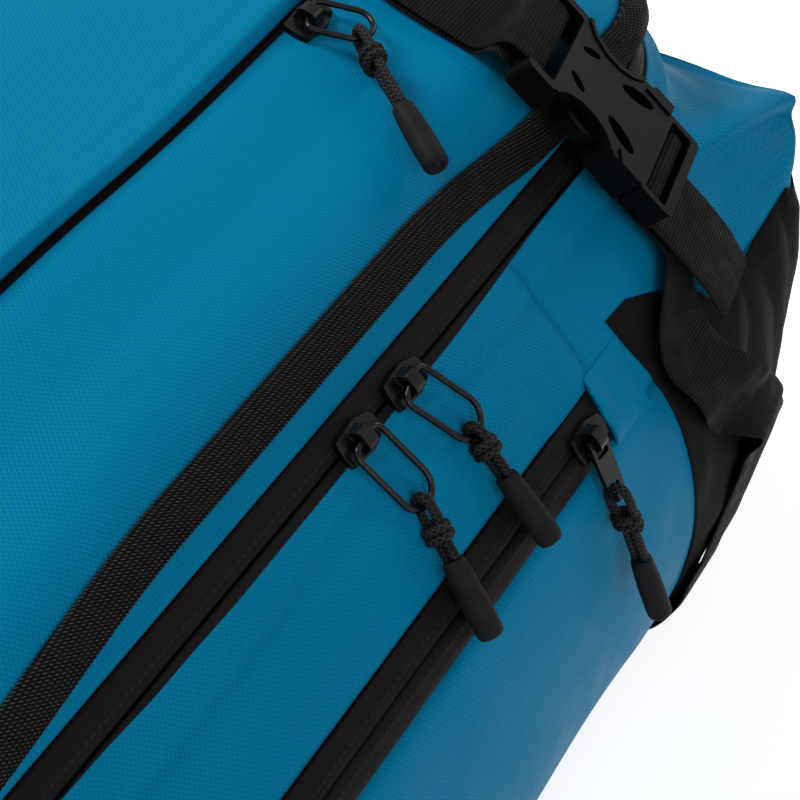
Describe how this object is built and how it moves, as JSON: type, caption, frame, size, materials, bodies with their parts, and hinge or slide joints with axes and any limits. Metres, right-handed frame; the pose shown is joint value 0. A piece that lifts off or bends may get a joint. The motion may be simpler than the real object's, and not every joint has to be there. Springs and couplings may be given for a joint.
{
  "type": "ski boot bag",
  "caption": "Padded boxy ski boot backpack with a zip-open front, flat front pocket, front compression strap with side-release buckles, side zips and shoulder straps.",
  "frame": {"origin": "under the middle of the bag's whole length and width, haul loop included, on the plane that the shoulder straps rest on", "axes": "+X towards the bag's right-hand side, +Y along the length towards the haul loop end, +Z out of the front of the bag"},
  "size_m": [0.4134, 0.524, 0.2671],
  "materials": {
    "shell_fabric": "teal blue woven nylon with a fine check weave, semi-gloss coating",
    "black_fabric": "thin black woven nylon",
    "back_padding": "foam padded black mesh fabric",
    "liner_sheet": "dark matt liner over a stiff sheet",
    "coated_zip": "coated black reverse coil zip tape, satin",
    "twill_binding": "black twill binding tape, matt",
    "webbing": "black woven webbing, matt",
    "buckle_plastic": "moulded black acetal, satin",
    "black_metal": "gloss black painted die-cast metal and wire",
    "pull_cord": "black braided cord",
    "cord_end_rubber": "moulded soft grey-black, matt"
  },
  "bodies": {
    "bag": {"side_panel_right": "shell_fabric", "side_panel_left": "shell_fabric", "top_end_panel": "shell_fabric", "bottom_end_panel": "shell_fabric", "gusset_right": "shell_fabric", "gusset_left": "shell_fabric", "top_gusset": "shell_fabric", "bottom_gusset": "shell_fabric", "side_zip_tape_right": "coated_zip", "side_zip_tape_left": "coated_zip", "zip_tape_body": "coated_zip", "corner_wing_right": "black_fabric", "corner_wing_left": "black_fabric", "back_panel": "back_padding", "frame_sheet": "liner_sheet", "shoulder_strap_right": "back_padding", "shoulder_strap_left": "back_padding", "strap_adjuster_right": "buckle_plastic", "strap_adjuster_left": "buckle_plastic", "strap_webbing_right": "webbing", "strap_webbing_left": "webbing", "haul_loop": "webbing", "load_webbing_right": "webbing", "load_webbing_left": "webbing"},
    "lid": {"front_panel": "shell_fabric", "lid_edge_strip": "shell_fabric", "lid_hinge_hem": "shell_fabric", "front_binding": "twill_binding", "front_pocket": "shell_fabric", "pocket_zip_tape": "coated_zip", "zip_tape_lid": "coated_zip", "front_strap": "webbing", "buckle_female_right": "buckle_plastic", "buckle_female_left": "buckle_plastic"},
    "male_half_right": {"buckle_male_right": "buckle_plastic", "strap_tail_right": "webbing"},
    "male_half_left": {"buckle_male_left": "buckle_plastic", "strap_tail_left": "webbing"},
    "upper_zip": {"upper_slider": "black_metal"},
    "upper_puller": {"upper_pull": "black_metal", "upper_cord": "pull_cord", "upper_cord_end": "cord_end_rubber"},
    "lower_zip": {"lower_slider": "black_metal"},
    "lower_puller": {"lower_pull": "black_metal", "lower_cord": "pull_cord", "lower_cord_end": "cord_end_rubber"},
    "side_zip_right": {"side_right_slider": "black_metal"},
    "side_puller_right": {"side_right_pull": "black_metal", "side_right_cord": "pull_cord", "side_right_cord_end": "cord_end_rubber"},
    "side_zip_left": {"side_left_slider": "black_metal"},
    "side_puller_left": {"side_left_pull": "black_metal", "side_left_cord": "pull_cord", "side_left_cord_end": "cord_end_rubber"},
    "pocket_zip": {"pocket_slider": "black_metal"},
    "pocket_puller": {"pocket_pull": "black_metal", "pocket_cord": "pull_cord", "pocket_cord_end": "cord_end_rubber"}
  },
  "joints": [
    {"name": "lid_hinge", "type": "hinge", "parent": "bag", "child": "lid", "pos_m": [0, -0.244, 0.2193], "axis": [1, 0, 0], "range_deg": [0, 110]},
    {"name": "buckle_release_right", "type": "slide", "parent": "bag", "child": "male_half_right", "axis": [0.7061, 0.1373, -0.6947], "range_m": [0, 0.04], "deforming": ["buckle_male_right", "load_webbing_right"]},
    {"name": "buckle_release_left", "type": "slide", "parent": "bag", "child": "male_half_left", "axis": [-0.7061, 0.1373, -0.6947], "range_m": [0, 0.04], "deforming": ["buckle_male_left", "load_webbing_left"]},
    {"name": "upper_zip_slide", "type": "slide", "parent": "lid", "child": "upper_zip", "axis": [0, 1, 0], "range_m": [0, 0.08]},
    {"name": "upper_pull_hinge", "type": "hinge", "parent": "upper_zip", "child": "upper_puller", "pos_m": [0.13802, 0.021, 0.22308], "axis": [0.2406, -0.9359, -0.2573], "range_deg": [0, 140], "deforming": ["upper_cord", "upper_cord_end"]},
    {"name": "lower_zip_slide", "type": "slide", "parent": "lid", "child": "lower_zip", "axis": [0, -1, 0], "range_m": [0, 0.19]},
    {"name": "lower_pull_hinge", "type": "hinge", "parent": "lower_zip", "child": "lower_puller", "pos_m": [0.13802, -0.003, 0.22308], "axis": [0.0953, -0.9902, -0.1019], "range_deg": [0, 140], "deforming": ["lower_cord", "lower_cord_end"]},
    {"name": "side_zip_slide_right", "type": "slide", "parent": "bag", "child": "side_zip_right", "axis": [0, -1, 0], "range_m": [0, 0.26]},
    {"name": "side_pull_hinge_right", "type": "hinge", "parent": "side_zip_right", "child": "side_puller_right", "pos_m": [0.17553, 0.063, 0.18185], "axis": [-0.0382, -0.9968, 0.0702], "range_deg": [0, 140], "deforming": ["side_right_cord", "side_right_cord_end"]},
    {"name": "side_zip_slide_left", "type": "slide", "parent": "bag", "child": "side_zip_left", "axis": [0, -1, 0], "range_m": [0, 0.26]},
    {"name": "side_pull_hinge_left", "type": "hinge", "parent": "side_zip_left", "child": "side_puller_left", "pos_m": [-0.17553, 0.063, 0.18185], "axis": [-0.0382, 0.9968, -0.0702], "range_deg": [0, 140], "deforming": ["side_left_cord", "side_left_cord_end"]},
    {"name": "pocket_zip_slide", "type": "slide", "parent": "lid", "child": "pocket_zip", "axis": [0, -1, 0], "range_m": [0, 0.24]},
    {"name": "pocket_pull_hinge", "type": "hinge", "parent": "pocket_zip", "child": "pocket_puller", "pos_m": [0.05619, 0.1, 0.26416], "axis": [0.3982, -0.9131, -0.0879], "range_deg": [0, 140], "deforming": ["pocket_cord", "pocket_cord_end"]}
  ]
}
